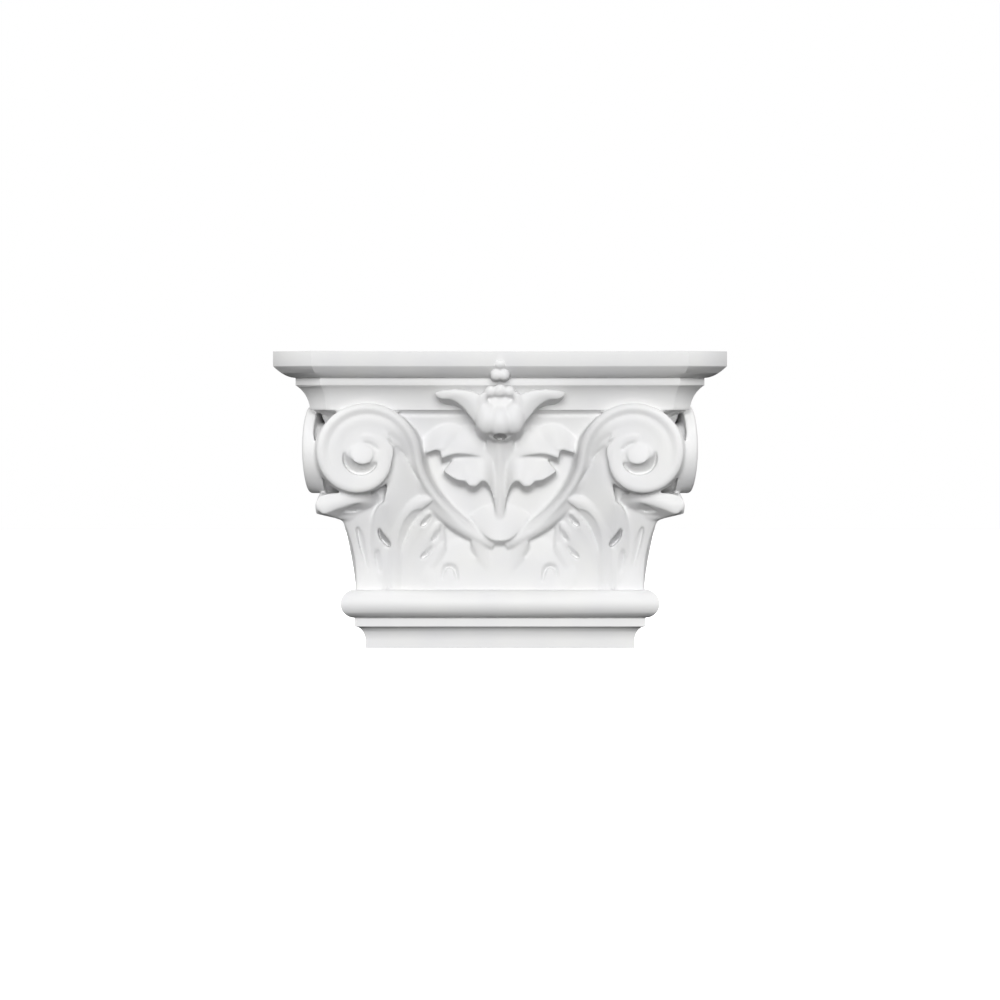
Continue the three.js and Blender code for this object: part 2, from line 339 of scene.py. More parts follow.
def bell_ring(up, back, hollow=CORNER_HOLLOW):
    """The bell's plan at one height: square at the foot, hollow-sided at the lip."""
    flare = ((up - BELL_FOOT_Z) / (BELL_TOP_Z - BELL_FOOT_Z)) ** BELL_FLARE
    corner = cut_corner(back + hollow)
    half = []
    for i, (across, out) in enumerate(abacus_half(back, corner, BELL_STEPS)):
        if i <= BELL_STEPS:
            foot = (-SHAFT_HALF - BELL_OUT, min(out, BELL_OUT - BELL_CORNER))
        else:
            foot = (across / corner * (BELL_CORNER - SHAFT_HALF - BELL_OUT), BELL_OUT)
        half.append((mix(foot[0], across, flare), mix(foot[1], out, flare)))
    return round_plan(half, up)


def bell_out(across, up):
    """How far the bell stands out on the front, at this place."""
    rise = max(up - BELL_FOOT_Z, 0.0) / (BELL_TOP_Z - BELL_FOOT_Z)
    return mix(BELL_OUT, hollow_side(across, BELL_BACK), rise**BELL_FLARE)


bell_rings = [
    bell_ring(mix(BELL_FOOT_Z, LIP_Z, i / RISE_STEPS), BELL_BACK) for i in range(RISE_STEPS + 1)
]
bell_rings += [
    bell_ring(LIP_Z + LIP_STEP * i, BELL_BACK - LIP_OUT * ease(i / LIP_STEPS))
    for i in range(1, LIP_STEPS + 1)
]
bell_rings += [
    bell_ring(LIP_TOP_Z - LIP_EDGE, BELL_BACK - LIP_OUT),
    bell_ring(LIP_TOP_Z, BELL_BACK + GROOVE_DEPTH),
]
bell_rings += [bell_ring(up, CAVETTO_BACK + BELL_OVERLAP, 0.0) for up in (ABACUS_Z, BELL_TOP_Z)]
bell = loft("bell", bell_rings)
print("bell:", len(bell.data.polygons), "faces")

# %% [markdown]
# ## Scroll and volute
# A band rises from the middle in an S and winds into a volute under the corner of the abacus. On
# the bell its outer edge is level with the bell, and its face swells and then drops at the inner
# edge. Higher up it gets a round rim, and on the volute it is nearly flat. A curve with a bevel
# profile would keep one section all the way. So it is a loft, with its section carried along a
# Bezier curve and then a spiral that draws in evenly.

# %% Line of the scroll
EYE_X, EYE_Z, EYE_RADIUS = -102.4, 142.8, 8.0
VOLUTE_RADIUS, VOLUTE_DRAW_IN, VOLUTE_QUARTERS = 44.4, 5.65, 5.0
VOLUTE_OUT, VOLUTE_LEAN = 42.0, 0.16
SCROLL_RISE = [(-2.0, 83.0), (-27.0, 92.0), (-56.0, 117.0), (EYE_X + VOLUTE_RADIUS, EYE_Z)]


def scroll_edge(quarter):
    """Outer edge of the band: below 0 on the S, above 0 on the spiral, in quarter turns."""
    if quarter < 0:
        return bezier(SCROLL_RISE, 1 + quarter)
    radius = VOLUTE_RADIUS - VOLUTE_DRAW_IN * quarter
    turn = quarter * math.pi / 2
    return Vector((EYE_X + radius * math.cos(turn), EYE_Z + radius * math.sin(turn)))


def volute_out(across):
    """How far the volute's face stands out, which is more towards the corner."""
    return VOLUTE_OUT - VOLUTE_LEAN * (across - EYE_X)


print(f"spiral ends {VOLUTE_RADIUS - VOLUTE_DRAW_IN * VOLUTE_QUARTERS:.1f} mm from its middle")

# %% Face of the scroll
BAND_WIDTHS = [12.0, 15.0, 16.3, 17.4, 16.0, 12.0, 7.0, 2.5]
FOOT_HEIGHTS = [-4.4, -3.0, -1.8, -0.8, -0.2, 0.0, -0.2, -0.7, -1.7, -4.2, -9.0]
BAND_HEIGHTS = [-3.0, -1.2, -0.2, 0.0, -1.4, -3.2, -4.0, -4.7, -5.6, -6.7, -8.0]
TURN_HEIGHTS = [-2.4, -0.6, 0.0, -0.2, -1.0, -1.8, -1.4, -1.1, -1.1, -1.2, -1.4]
DISC_HEIGHTS = [-2.2, -1.1, -0.8, -0.8, -0.9, -1.0, -1.1, -1.2, -1.3, -1.4, -1.5]
# A change along the scroll is given by the quarter turn where it starts and the quarters it takes.
TO_BAND, TO_TURN, TO_DISC = (-0.8, 0.5), (-0.2, 0.9), (1.8, 0.8)


def changed(quarter, change):
    """How far a change along the scroll has gone, from 0 to 1."""
    start, length = change
    return ease((quarter - start) / length)


def band_relief(quarter, share):
    """Height of the band's face at this share of its width, from the outer edge inwards."""
    relief = through(FOOT_HEIGHTS, share)
    relief = mix(relief, through(BAND_HEIGHTS, share), changed(quarter, TO_BAND))
    relief = mix(relief, through(TURN_HEIGHTS, share), changed(quarter, TO_TURN))
    return mix(relief, through(DISC_HEIGHTS, share), changed(quarter, TO_DISC))


print("band is", min(BAND_WIDTHS), "to", max(BAND_WIDTHS), "mm wide")

# %% Scroll
BAND_FOOT_OUT = 10.5
BAND_BODY, VOLUTE_BODY, CORNER_BODY = 26.0, 9.0, 15.0
VOLUTE_DRAFT, VOLUTE_EDGE, BAND_EDGE, BACK_INSET = 2.0, 3.0, 0.3, 0.5
SKIRT_SLOPE, SKIRT_ROOT, SKIRT_CURVE = 0.4, 0.8, 1.3
FACE_STEPS, SKIRT_STEPS, SCROLL_STEPS = 24, 6, 260
RISING, THINNING, NEAR_CORNER = (-1.15, 1.65), (-0.2, 1.0), (1.6, 0.8)
DRAFT_STARTS, DRAFT_ENDS, OFF_BELL = (1.4, 0.4), (2.5, 0.4), (-0.1, 0.6)


def scroll_section(quarter):
    """The band's section: its face from the outer edge inwards, its back, a skirt to the bell."""
    edge = scroll_edge(quarter)
    ahead = (scroll_edge(quarter + STEP) - scroll_edge(quarter - STEP)).normalized()
    inward = Vector((-ahead.y, ahead.x))
    width = through(BAND_WIDTHS, (quarter + 1) / (len(BAND_WIDTHS) - 1))
    rise = changed(quarter, RISING)
    section = []
    for i in range(FACE_STEPS + 1):
        place = edge + inward * width * i / FACE_STEPS
        out = mix(BAND_FOOT_OUT, volute_out(place.x), rise)
        section.append(at(place.x, out + band_relief(quarter, i / FACE_STEPS), place.y))

    out = mix(BAND_FOOT_OUT, volute_out(edge.x), rise)
    body = mix(BAND_BODY, VOLUTE_BODY, changed(quarter, THINNING))
    back = out - mix(body, CORNER_BODY, changed(quarter, NEAR_CORNER))
    inner = edge + inward * (width - BACK_INSET)
    section.append(at(inner.x, back, inner.y))
    start, end = changed(quarter, DRAFT_STARTS), changed(quarter, DRAFT_ENDS)
    spread = edge - inward * VOLUTE_DRAFT * start * (1 - end)
    section.append(at(spread.x, back, spread.y))

    on_bell = 1 - changed(quarter, OFF_BELL)
    low = mix(back, bell_out(edge.x, edge.y) - SKIRT_ROOT, on_bell)
    high = out - mix(VOLUTE_EDGE, BAND_EDGE - band_relief(quarter, 0.0), on_bell)
    for i in range(SKIRT_STEPS):
        share = 1 - i / SKIRT_STEPS
        place = edge.lerp(spread, share) - inward * (high - low) * SKIRT_SLOPE * share * on_bell
        climb = (i / SKIRT_STEPS) ** mix(1.0, SKIRT_CURVE, on_bell)
        section.append(at(place.x, mix(low, high, climb), place.y))
    return section + section[:1]


scroll = loft("scroll", [
    scroll_section(mix(-1.0, VOLUTE_QUARTERS, i / SCROLL_STEPS)) for i in range(SCROLL_STEPS + 1)
])
print("scroll:", len(scroll.data.polygons), "faces")

# %% [markdown]
# ## Inside the volute
# The spiral winds round a sunk ground with a button on it, the eye, and a core behind them fills
# the corner. A cylinder would do for a flat disc. The eye is domed and leans, and the ground leans
# with the volute, so all three are lofts of rings whose depth is worked out point by point.

# %% Volute ground and eye
GROUND_RADIUS, GROUND_ASIDE, GROUND_UP, GROUND_SUNK = 22.5, 1.0, 2.5, 1.5
CORE_RADIUS, ROOT_OUT = 27.5, 8.0
EYE_UP, EYE_SPREAD, EYE_WALL = 1.0, 0.6, 9.0
EYE_TILT, EYE_BULGE = 0.2, 1.4
DISC_TURNS, DISC_RINGS, DOME_STEPS = 48, 10, 8


def round_boss(name, across, up, radius, profile):
    """A round block out of the bell, through rings of (share of radius, out at a place)."""
    rings = []
    for share, out in profile:
        turns = [2 * math.pi * i / DISC_TURNS for i in range(DISC_TURNS + 1)]
        reach = radius * share
        spots = [(across + reach * math.cos(a), up + reach * math.sin(a)) for a in turns]
        rings.append([at(x, out(x, z), z) for x, z in spots])
    return loft(name, rings)


def root(x, z):
    return ROOT_OUT


def ground_out(x, z):
    return volute_out(x) - GROUND_SUNK


def core_out(x, z):
    return volute_out(x) - CORNER_BODY + 1


def eye_out(bulge):
    """The eye's face: level with the ground at its top, and proud of it at its lower edge."""
    return lambda x, z: ground_out(x, z) + bulge + EYE_TILT * (EYE_Z + EYE_RADIUS - z)


def disc_face(out):
    """Rings of a face from its edge to near its middle."""
    return [(1.0 - 0.1 * i, out) for i in range(DISC_RINGS)]


volute_ground = round_boss(
    "volute ground", EYE_X + GROUND_ASIDE, EYE_Z + GROUND_UP, GROUND_RADIUS,
    [(0.9, root)] + disc_face(ground_out),
)
volute_core = round_boss(
    "volute core", EYE_X, EYE_Z, CORE_RADIUS, [(0.95, root)] + disc_face(core_out)
)
dome = [(math.cos(a), eye_out(EYE_BULGE * math.sin(a))) for a in quarter_turns(DOME_STEPS)[:-1]]
eye = round_boss(
    "eye", EYE_X, EYE_Z + EYE_UP, EYE_RADIUS + EYE_SPREAD, [(1.0, eye_out(-EYE_WALL))] + dome
)
for piece in (volute_ground, volute_core, eye):
    print(f"{piece.name}:", len(piece.data.polygons), "faces")

# %% [markdown]
# ## Leaves
# A leaf is a sheet between two edge curves, and its ridges are lobes: padded blades along a bent
# rib, narrow at the foot and round at the tip. Points are across, lift above the bell, and up, so
# that a leaf follows the bell wherever it grows.
#
# A mould has to let go of its casting, so the wall under each edge slopes: the sheet is extruded
# back and down. These slopes turn away from the light, and their dark bands are what draws the
# leaves for the eye. A gap between two lobes is a cutter with one sloped wall, and is cut out
# later.

# %% Sheets and lobes
SHEET_COLUMNS, LOBE_COLUMNS, LEAF_ROWS = 16, 14, 40
LEAF_DEPTH = 12.0
THINNEST = 0.02


def lay(across, lift, up):
    """A place on the front, by its lift above the bell."""
    return at(across, bell_out(across, up) + lift, up)


def sheet(name, left, right, crown, depth=LEAF_DEPTH, drop=0.0, aside=0.0):
    """A leaf between two edge curves, from its foot to its tip."""
    left = [Vector(p) for p in left]
    right = [Vector(p) for p in right]

    def place(across, along):
        spot = through(left, along).lerp(through(right, along), across)
        pad = crown * math.sin(math.pi * across) * math.sin(math.pi * along**0.6)
        return lay(spot.x, spot.y + pad, spot.z)

    return set_back(skin(name, SHEET_COLUMNS, LEAF_ROWS, place), depth, drop, aside)


def swell(along, foot, full):
    """Width of a lobe along its rib, from its foot to its round tip."""
    rise = mix(foot, 1.0, math.sin(min(along / full, 1.0) * math.pi / 2))
    close = max(along - full, 0.0) / (1 - full)
    return rise * math.sqrt(max(1 - close**2.2, 0.0)) + THINNEST


def lobe(name, rib, width, crown=2.0, foot=0.4, full=0.6, depth=LEAF_DEPTH):
    """A padded blade along a rib, which is a Bezier curve."""
    rib = [Vector(p) for p in rib]

    def place(across, along):
        ahead = heading(bezier, rib, along)
        side = Vector((ahead.z, 0, -ahead.x)).normalized()
        share = 2 * across - 1
        size = swell(along, foot, full)
        pad = crown * (1 - share**2)
        spot = bezier(rib, along) + side * share * size * width / 2
        return lay(spot.x, spot.y + (pad - crown) * size, spot.z)

    return set_back(skin(name, LOBE_COLUMNS, LEAF_ROWS, place), depth)


print("a sheet has", SHEET_COLUMNS * LEAF_ROWS, "faces before it is set back")

# %% Gaps
CUTTER_LENGTH, GAP_FOOT = 40.0, 0.1


def gap(name, path, width, floor, slope=4.0, full=0.5):
    """A cutter for a gap between lobes, which opens forwards. The wall on the left of its path
    slopes down to the floor, which is one lift or a list of them, and the other one is upright."""
    path = [Vector(p) for p in path]
    floors = floor if isinstance(floor, list) else [floor]

    def place(across, along):
        ahead = heading(through, path, along)
        side = Vector((ahead.y, -ahead.x)).normalized()
        size = swell(along, GAP_FOOT, full)
        spot = through(path, along) + side * (2 * across - 1) * size * width / 2
        bottom = through(floors, along) if len(floors) > 1 else floors[0]
        return lay(spot.x, bottom + slope * (1 - across * size), spot.y)

    return set_back(skin(name, LOBE_COLUMNS, LEAF_ROWS, place), -CUTTER_LENGTH)


def free(points):
    """Points given by their depth from the shaft, as points with a lift above the bell."""
    return [(across, out - bell_out(across, up), up) for across, out, up in points]


print("a gap's cutter reaches", CUTTER_LENGTH, "mm forwards")

# %% [markdown]
# ## The leaves of one face
# The arched half leaf, the sides of the corner leaf and the web beside the volute stand on the
# front and on each return alike. They are made once, on the left of the front, and mirrored later.
# The small dark eye that a carver drills between two lobes is a steep gap here.

# %% Arched leaf and sides of the corner leaf
face_leaves = [
    sheet(
        "web beside the volute",
        free([(-95, 37, 165), (-84, 33, 153), (-80.5, 28, 145), (-80, 26, 136), (-83, 24, 124),
              (-86, 21.5, 110), (-88, 17, 97), (-89, 10, 82)]),
        free([(-86, 36, 164), (-75, 32, 153), (-69, 27, 145), (-63, 24, 136), (-58, 20, 124),
              (-57, 16, 109), (-64, 15, 97), (-72, 12, 82)]),
        crown=1.5, depth=24,
    ),
    sheet(
        "arch leaf",
        [(-80, 2.4, 40), (-80, 4.0, 62), (-80, 7.0, 84), (-76, 10.5, 100), (-64, 10, 108),
         (-50, 9, 110)],
        [(-50, 1.6, 40), (-46, 1.8, 58), (-41, 1.6, 72), (-41, 2.0, 86), (-44, 4, 98),
         (-49, 8, 106)],
        crown=1.2,
    ),
    lobe(
        "arch rib",
        [(-78, 3.8, 41), (-79, 6.0, 74), (-78, 14, 106), (-50, 12, 110.5)],
        12, foot=0.8,
    ),
    lobe("arch lobe high", [(-73, 3.6, 54), (-69, 7.0, 84), (-52, 8.4, 101)], 10.5),
    lobe("arch lobe middle", [(-69, 3.2, 54), (-61, 5.0, 76), (-45, 6.0, 93)], 11),
    lobe("arch lobe low", [(-63, 2.6, 45), (-51, 3.8, 60), (-42, 3.4, 78)], 12),
    lobe("corner lobe high", [(-91, 3.2, 58), (-90, 8.5, 90), (-85, 13, 108)], 13, depth=24),
    lobe("corner lobe low", [(-88, 3.0, 42), (-87, 5.0, 60), (-84, 6.0, 76)], 13),
    sheet(
        "tip of the corner leaf",
        free([(-136.5, 36, 106.5), (-135, 36, 102.5), (-131, 36, 99.6), (-124.5, 35.5, 102),
              (-117, 35, 104.8), (-109.8, 33, 107.4), (-102.4, 28, 109), (-92, 15, 111)]),
        free([(-136.5, 35.5, 108), (-134.5, 34, 112), (-129, 33, 114.6), (-122.4, 33, 115.4),
              (-115, 32.5, 115.8), (-109, 30, 116), (-102, 25, 116), (-92, 13, 116)]),
        crown=2.0, depth=30, drop=7, aside=20,
    ),
]
print("leaves of one face:", len(face_leaves))

# %% Gaps of one face
LINE_RADIUS = 11.4
under_eye = [
    (EYE_X + LINE_RADIUS * math.cos(a), EYE_Z + EYE_UP + LINE_RADIUS * math.sin(a))
    for a in map(math.radians, range(145, 341, 15))
]
face_gaps = [
    gap(
        "groove beside the rib",
        [(-74.5, 62), (-73.5, 78), (-69.5, 90), (-64, 98), (-58, 102.5)],
        width=7.0, floor=[1.5, 3.0, 4.6, 5.2, 5.6], slope=5.0,
    ),
    gap(
        "gap in the high lobe",
        [(-59, 90), (-55.5, 94), (-51.5, 99)],
        width=4.6, floor=[-2.6, 1.6, 2.0], slope=5.6,
    ),
    gap(
        "gap in the middle lobe",
        [(-50.5, 79), (-48, 83.5), (-46, 88)],
        width=4.2, floor=[-1.8, 1.0, 1.6],
    ),
    gap(
        "gap in the low lobe",
        [(-59, 66), (-54.5, 71), (-50, 77)],
        width=4.6, floor=[-2.6, 0.2, 0.8],
    ),
    gap(
        "drilled eye",
        [(-90.5, 90), (-88, 84), (-84.8, 79.5), (-81.5, 75.5)],
        width=4.8, floor=[-6.0, -6.5, -9.0, -14.0], slope=14.0,
    ),
    gap(
        "shade under the tip",
        [(-116, 101.4), (-109, 103.4), (-102, 105.0), (-96, 106.5)],
        width=6.0, floor=[6.5, 6.8, 7.6, 9.0], slope=11.0,
    ),
    gap(
        "corner valley",
        [(-106.5, 91), (-100.5, 73), (-95.5, 54)],
        width=6.0, floor=1.2,
    ),
    gap(
        "side valley",
        [(-91.5, 74), (-90, 66), (-88, 54)],
        width=5.6, floor=1.7, slope=3.4,
    ),
    gap(
        "valley inside the band",
        [(-99, 164.4), (-90.6, 161.8), (-81.7, 154.4), (-70.6, 145.6), (-65.4, 135.9),
         (-59.5, 124.8), (-56, 118)],
        width=4.6, floor=[12.6, 13.4, 13.6, 9.8, 9.3, 7.7, 7.0], slope=8.0,
    ),
    gap("line under the eye", under_eye, width=8.0, floor=16.0, slope=9.0),
    lobe(
        "stroke above the eye",
        free([(-101.5, 39.6, 152.6), (-95, 37.4, 152.4), (-89, 38.0, 146)]),
        4.6, crown=-2.6, foot=0.3, full=0.5, depth=-CUTTER_LENGTH,
    ),
]
print("gaps of one face:", len(face_gaps))

# %% [markdown]
# ## Spray and foot leaves
# Beside the stalk a spray of leaves hangs over the bell, with its lower edges well forward, and low
# leaves cover the foot. They could be flat meshes with a displaced surface. Sheets give the same
# leaf with its true edge and its sloped wall, and only the left half is made.

# %% Spray and foot leaves
left_leaves = [
    sheet(
        "spray leaf",
        [(-3, 4, 98), (-5, 7, 112), (-8.5, 12.5, 121.5), (-13, 14.5, 124.5), (-18, 15, 120.5),
         (-22.5, 15.5, 120.8), (-25.5, 15.5, 124.0), (-31, 15.5, 124.8), (-36, 15, 127.5),
         (-41.5, 13.5, 131.5)],
        [(-1, 5, 130), (-5, 6, 142), (-11, 5, 149), (-18, 4, 150), (-24, 4, 148), (-29, 4, 145),
         (-33, 5, 142), (-36.5, 7, 138.5), (-39.5, 9, 135), (-42, 10.5, 132.2)],
        crown=1.5, depth=20, drop=6,
    ),
    sheet(
        "spray upper lobe",
        [(-8, 8, 139), (-16, 10, 142.6), (-25, 12, 144.0), (-32, 13, 144.4), (-38, 14, 143.2),
         (-43.5, 14, 141.0)],
        [(-4, -1, 158), (-12, -1, 165), (-22, -1, 167), (-32, 0, 164), (-40, 5, 158),
         (-44.5, 12, 147)],
        crown=1.5, depth=22, drop=7,
    ),
    sheet(
        "spray end lobe",
        [(-30, 8, 149), (-42, 12.5, 147.5), (-48, 12, 147.2), (-54.5, 10, 145)],
        [(-24, -4, 168), (-36, -2, 169), (-47, -1.5, 166), (-59, 1, 153)],
        crown=1.5, depth=22, drop=6,
    ),
    sheet(
        "foot leaf",
        [(-62, 2.2, 40), (-62, 2.4, 54), (-56, 1.6, 66), (-48, -0.6, 78)],
        [(2, 3.0, 40), (2, 3.2, 56), (2, 3.4, 72), (2, 3.0, 86)],
        crown=0.6,
    ),
    lobe("middle lobe high", [(-6, 3.0, 52), (-12, 4.2, 66), (-19.5, 6.5, 81)], 11, crown=1.6),
    lobe("middle lobe low", [(-10, 2.4, 41), (-19, 3.8, 52), (-27, 3.4, 66)], 11, crown=1.2),
    lobe("leaning lobe", [(-48, 2.4, 40), (-51, 4.4, 50), (-56, 3.4, 62)], 17, crown=1.8),
]
left_gaps = [
    gap(
        "line round the niche",
        [(-42.4, 47), (-42.0, 58), (-38.5, 61.6), (-33.2, 59), (-31.4, 49)],
        width=4.2, floor=-0.7, slope=3.8,
    ),
    gap(
        "hole under the bulb",
        [(-5, 158), (-2, 156.8), (1, 156.8)],
        width=5.0, floor=3.0, slope=12.0, full=0.8,
    ),
    gap("notch", [(-22.5, 79), (-20.5, 72), (-16.5, 67)], width=4.4, floor=1.0),
]
print("left half:", len(left_leaves), "shapes and", len(left_gaps), "gaps")

# %% [markdown]
# ## Stalk and flower
# The flower on the axis covers the middle of the abacus: two long side petals, a bulb of round
# lobes, a crown of three beads and a bud. Spheres pushed into the block would leave open undercuts
# that no mould can make, so each round part is a boss: a dome with a wall that goes back into the
# block. Depths are given from the face of the shaft, because the flower stands free of the bell.

# %% Flower
BOSS_TURNS = 32


def boss(name, across, out, up, size, depth=16.0, drop=5.0):
    """A domed boss of this width, bulge and height. Its wall goes back, sloped like a leaf's."""
    wide, bulge, tall = size
    rings = [(1.0, out - depth, up - drop)]
    rings += [(math.cos(a), out + bulge * math.sin(a), up) for a in quarter_turns(DOME_STEPS)]
    turns = [2 * math.pi * i / BOSS_TURNS for i in range(BOSS_TURNS + 1)]

    def spot(share, ring_out, middle, a):
        x, z = across + share * wide * math.cos(a), middle + share * tall * math.sin(a)
        return at(x, ring_out, z)

    return loft(name, [[spot(*ring, a) for a in turns] for ring in rings])


left_leaves += [
    sheet(
        "side petal",
        free([(-6, 34, 155), (-14, 38, 162), (-22, 40, 171.5), (-28, 41, 179), (-36, 41.5, 184.2),
              (-44, 41, 185.0), (-48.5, 40, 187.4)]),
        free([(-2, 36, 163), (-7, 40, 172), (-11, 42, 181), (-16, 43, 188.5), (-27, 43.5, 191.8),
              (-42, 42, 191.8), (-48.7, 40, 189.6)]),
        crown=2.0, depth=26, drop=7, aside=6,
    ),
    lobe(
        "inner petal",
        free([(-7, 38, 160), (-14, 43, 170), (-15.5, 45, 180), (-12, 45, 189)]),
        9, crown=2.4, depth=22,
    ),
    boss("bulb lobe", -10.0, 39.5, 170.5, (8.4, 7.5, 12.0), depth=20),
    boss("crown bead", -7.0, 43.0, 190.6, (4.4, 3.0, 4.2)),
    boss("bud bead", -2.9, 42.0, 202.8, (4.6, 4.0, 4.6), drop=2),
]
middle_leaves = [
    boss("bulb", 0, 41.0, 168.0, (9.0, 8.0, 11.0), depth=22, drop=6),
    boss("cup back", 0, 38.0, 178.0, (12.0, 4.0, 12.0)),
    boss("crown middle", 0, 43.5, 191.2, (4.6, 3.4, 4.8)),
    boss("bud tip", 0, 44.6, 210.6, (4.8, 3.2, 3.6), drop=2),
    sheet(
        "bed of the stalk",
        [(-11, 3, 128), (-11, 6, 142), (-9, 11, 158)],
        [(11, 3, 128), (11, 6, 142), (9, 11, 158)],
        crown=2.0, depth=16,
    ),
    lobe(
        "stalk",
        free([(0, 9.5, 80), (0, 13, 100), (0, 18, 130), (0, 27, 160)]),
        7.0, foot=0.8, full=0.7, depth=14,
    ),
]
print("left half:", len(left_leaves), "shapes, middle:", len(middle_leaves))

# %% [markdown]
# ## Middle leaf and corner leaf
# A small leaf tip covers the ends of the two scrolls in the middle. The big corner leaf stands on
# the diagonal, half of it on the front and half on the return, and a sloped soffit joins the
# volutes under the corner of the abacus. These two could be made as one face and mirrored, but
# would then show a seam on the diagonal. So they are skins along a spine, bent round the corner and
# thickened with Solidify.

# %% Middle leaf and corner leaf
CURL_COLUMNS, CURL_ROWS = 28, 44


def on_corner(out, up, aside, back):
    """Out along the diagonal: half of the blade lies along the front, half along the return."""
    along_front = out * math.sqrt(0.5) - (abs(aside) if aside > 0 else back)
    along_return = out * math.sqrt(0.5) - (abs(aside) if aside < 0 else back)
    return at(-SHAFT_HALF - along_front, along_return, up)


def curl(name, spine, widths, sweep, thickness):
    """A blade on the corner. Its spine is (out, up) from foot to tip. Sweep draws in its sides."""
    spine = [Vector(p) for p in spine]

    def place(across, along):
        share = 2 * across - 1
        spot = through(spine, along)
        half = through(widths, along)
        return on_corner(spot.x, spot.y, share * half, sweep * along * abs(share) * half)

    piece = skin(name, CURL_COLUMNS, CURL_ROWS, place)
    return use_modifier(piece, "SOLIDIFY", thickness=thickness * MM, offset=0)


middle_leaves.append(
    sheet(
        "middle leaf tip",
        [(-15, 6, 87), (-7, 10.5, 81), (0, 12, 79.8), (7, 10.5, 81), (15, 6, 87)],
        [(-22, 1, 98), (-11, 1, 104), (0, 0, 108), (11, 1, 104), (22, 1, 98)],
        crown=0.6, depth=18, drop=8,
    )
)
corner_leaves = [
    curl(
        "corner leaf",
        [(6, 41), (6.4, 53), (7.6, 65), (11, 77), (16, 88), (21.5, 97), (26, 105)],
        [16, 17, 18, 20, 23, 26, 28],
        sweep=0.3, thickness=6.0,
    ),
    curl(
        "soffit under the abacus corner",
        [(43, 183), (43, 178), (36, 174.4), (26, 171.6), (16, 169)],
        [9, 9, 10, 10, 10],
        sweep=0.0, thickness=5.0,
    ),
]
print("corner leaf and soffit:", [len(piece.data.polygons) for piece in corner_leaves], "faces")

# %% [markdown]
# ## Mirroring
# What one face carries goes across the corner to the return by a Mirror modifier, whose mirror is
# an empty turned by 45 degrees at the corner of the shaft. A second Mirror modifier makes the right
# half. Copies turned by hand would do as well, but a mirror can't be set a little wrong.

# %% Mirror across the corner and across the middle
bpy.ops.object.select_all(action="DESELECT")
bpy.ops.object.empty_add(location=at(-SHAFT_HALF, 0, 0), rotation=(0, 0, math.radians(45)))
corner_mirror = bpy.context.object


def mirror(piece, **settings):
    """Adds a piece's mirror image to it, with nothing clipped or merged."""
    return use_modifier(piece, "MIRROR", use_clip=False, use_mirror_merge=False, **settings)


def both_sides(name, one_face, left):
    """What one face has goes round the corner, and then the left half goes to the right."""
    face = join(name, one_face)
    mirror(face, use_axis=(False, True, False), mirror_object=corner_mirror)
    return mirror(join(name, [face] + left), use_axis=(True, False, False))


volute = [scroll, volute_ground, volute_core, eye]
leaves = both_sides("leaves", face_leaves + volute, corner_leaves + left_leaves)
gaps = both_sides("gaps", face_gaps, left_gaps)
bpy.data.objects.remove(corner_mirror)
carving = join("carving", [leaves, bell] + middle_leaves)
print("carving before it is fused:", len(carving.data.polygons), "faces")

# %% [markdown]
# ## Fusing
# The mould makes one skin of all this. Booleans between so many leaves would be slow and leave hard
# creases, so a voxel Remesh fuses the overlapping shapes, and a few rounds of smoothing give the
# soft inner corners of a spray-painted moulding. The gaps are cut out between two rounds of Remesh.

# %% Fuse the carving
VOXEL = 0.8 * MM
SMOOTHING, SMOOTH_ROUNDS = 0.5, 9
MOST_TRIANGLES = 170000


def count_triangles(piece):
    """How many triangles a piece's faces make."""
    return sum(len(face.vertices) - 2 for face in piece.data.polygons)


use_modifier(gaps, "REMESH", mode="VOXEL", voxel_size=VOXEL)
use_modifier(carving, "REMESH", mode="VOXEL", voxel_size=VOXEL)
use_modifier(carving, "BOOLEAN", operation="DIFFERENCE", object=gaps, solver="MANIFOLD")
bpy.data.objects.remove(gaps)
use_modifier(carving, "REMESH", mode="VOXEL", voxel_size=VOXEL)
use_modifier(carving, "SMOOTH", factor=SMOOTHING, iterations=SMOOTH_ROUNDS)
fused = count_triangles(carving)
use_modifier(carving, "DECIMATE", ratio=min(1.0, MOST_TRIANGLES / fused))
print("fused carving:", fused, "triangles, thinned to", count_triangles(carving))

# %% [markdown]
# ## Mouldings and back
# Abacus and neck stay crisp, because on such a pattern they are run with a template. So they are
# not remeshed: they get a narrow Bevel and are joined on by a Boolean. Everything was modelled a
# little past the wall line, and one Bisect there, with its cut filled, makes the flat back.

# %% Join the mouldings and cut the back
ARRIS_WIDTH, ARRIS_ANGLE = 0.5 * MM, math.radians(40)
SOFT_ANGLE = math.radians(32)
mouldings = join("mouldings", [abacus, neck])
use_modifier(
    mouldings, "BEVEL", width=ARRIS_WIDTH, segments=1, limit_method="ANGLE", angle_limit=ARRIS_ANGLE
)
use_modifier(carving, "BOOLEAN", operation="UNION", object=mouldings, solver="MANIFOLD")
bpy.data.objects.remove(mouldings)

capital = carving
capital.name = "capital_moulding"


def cut_at_wall():
    """Takes off what stands behind the wall line and fills the cut."""
    wall = {"plane_co": (0, WALL_Y * MM, 0), "plane_no": (0, 1, 0)}
    bpy.ops.mesh.bisect(**wall, use_fill=True, clear_outer=True, threshold=1e-7)


edit_all(capital, cut_at_wall)
only(capital)
bpy.ops.object.shade_smooth_by_angle(angle=SOFT_ANGLE)
print("capital:", count_triangles(capital), "triangles")

# %% [markdown]
# ## White primer
# The foam is sprayed with a matt white acrylic primer in the factory. To the eye it is an even,
# slightly cool white with no gloss, a little cloudy where the spray lay thicker, and under raking
# light it has the fine skin of sprayed paint. A plain white would look like plastic, so three
# noises on Object coordinates, which stay with the mesh, vary its colour, its roughness and, as a
# bump, its surface.

# %% Colours and nodes


